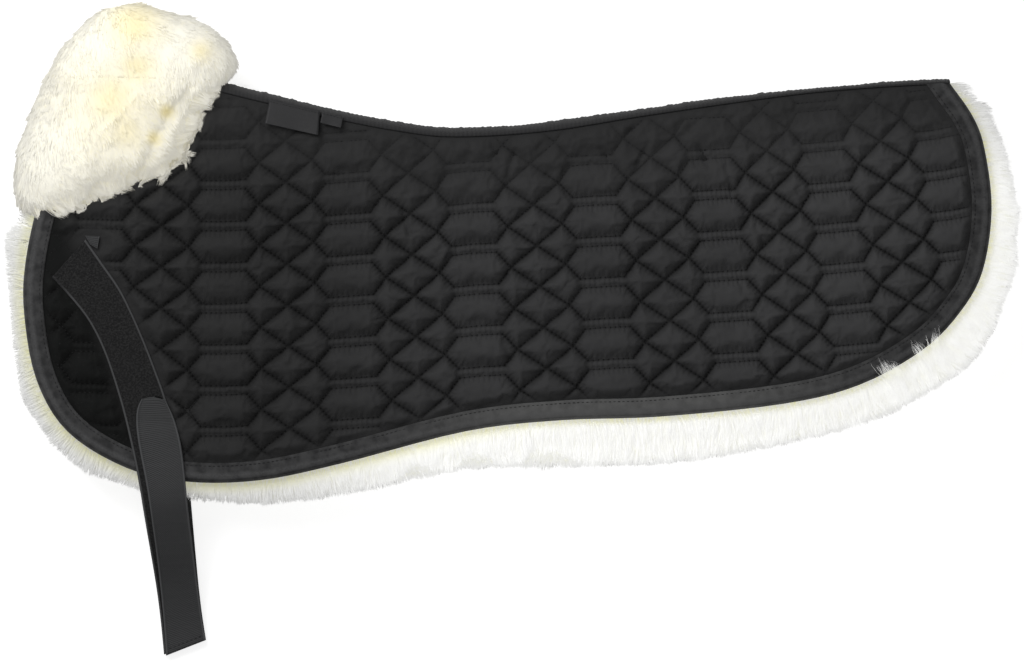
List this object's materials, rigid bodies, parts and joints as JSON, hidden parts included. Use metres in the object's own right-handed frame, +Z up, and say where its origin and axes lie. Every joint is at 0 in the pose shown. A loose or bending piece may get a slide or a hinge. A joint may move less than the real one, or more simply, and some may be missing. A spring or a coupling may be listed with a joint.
{
  "type": "sheepskin half pad",
  "caption": "Contoured sheepskin half pad with a quilted cotton cover, bound edge, fleece pommel roll and hook-and-loop straps, folded along its spine.",
  "frame": {"origin": "centre of the bounding box, on the floor that the folded pad lies on", "axes": "+X runs from the pommel to the rear of the pad, +Y towards its spine, +Z up from the floor to the near side"},
  "size_m": [0.626, 0.4099, 0.0893],
  "materials": {
    "quilt_cotton": "matt black quilted cotton",
    "wadding": "soft white wadding",
    "hide": "undyed suede",
    "fleece": "dense cream wool",
    "binding_tape": "dark grey woven tape",
    "loop_tape": "black loop pile",
    "hook_tape": "dark ribbed tape",
    "spine_webbing": "dark grey ribbed webbing",
    "tag_cloth": "black satin weave"
  },
  "bodies": {
    "off_panel": {"off_quilted_cover": "quilt_cotton", "off_wadding": "wadding", "off_sheepskin_hide": "hide", "off_fleece_lining": "fleece", "off_edge_binding": "binding_tape", "off_roll_hide": "hide", "off_roll_fleece": "fleece", "spine_band": "spine_webbing", "roll_crown": "fleece"},
    "near_panel": {"near_quilted_cover": "quilt_cotton", "near_wadding": "wadding", "near_sheepskin_hide": "hide", "near_fleece_lining": "fleece", "near_edge_binding": "binding_tape", "near_roll_hide": "hide", "near_roll_fleece": "fleece", "label_tag": "tag_cloth", "size_tag": "tag_cloth"},
    "near_strap": {"near_strap_loop_tape": "loop_tape"},
    "near_strap_tab": {"near_strap_hook_tape": "hook_tape"},
    "off_strap": {"off_strap_loop_tape": "loop_tape"},
    "off_strap_tab": {"off_strap_hook_tape": "hook_tape"}
  },
  "joints": [
    {"name": "spine_fold", "type": "hinge", "parent": "off_panel", "child": "near_panel", "pos_m": [0.012, 0.1505, 0.03175], "axis": [-0.9995, 0.0211, 0.024], "range_deg": [0, 100], "deforming": ["spine_band", "roll_crown"]},
    {"name": "near_strap_root", "type": "hinge", "parent": "near_panel", "child": "near_strap", "pos_m": [-0.2725, 0.043, 0.05791], "axis": [-0.7546, -0.6562, -0.0066], "range_deg": [0, 100]},
    {"name": "near_strap_tab_seam", "type": "hinge", "parent": "near_strap", "child": "near_strap_tab", "pos_m": [-0.2046, -0.19795, 0.00532], "axis": [0.9308, 0.3641, 0.0328], "range_deg": [0, 150]},
    {"name": "off_strap_root", "type": "hinge", "parent": "off_panel", "child": "off_strap", "pos_m": [-0.2725, 0.043, 0.01411], "axis": [0.7546, 0.6562, 0.0066], "range_deg": [0, 100]},
    {"name": "off_strap_tab_seam", "type": "hinge", "parent": "off_strap", "child": "off_strap_tab", "pos_m": [-0.2046, -0.19795, 0.0011], "axis": [-0.9313, -0.3643, 0], "range_deg": [0, 150]}
  ]
}
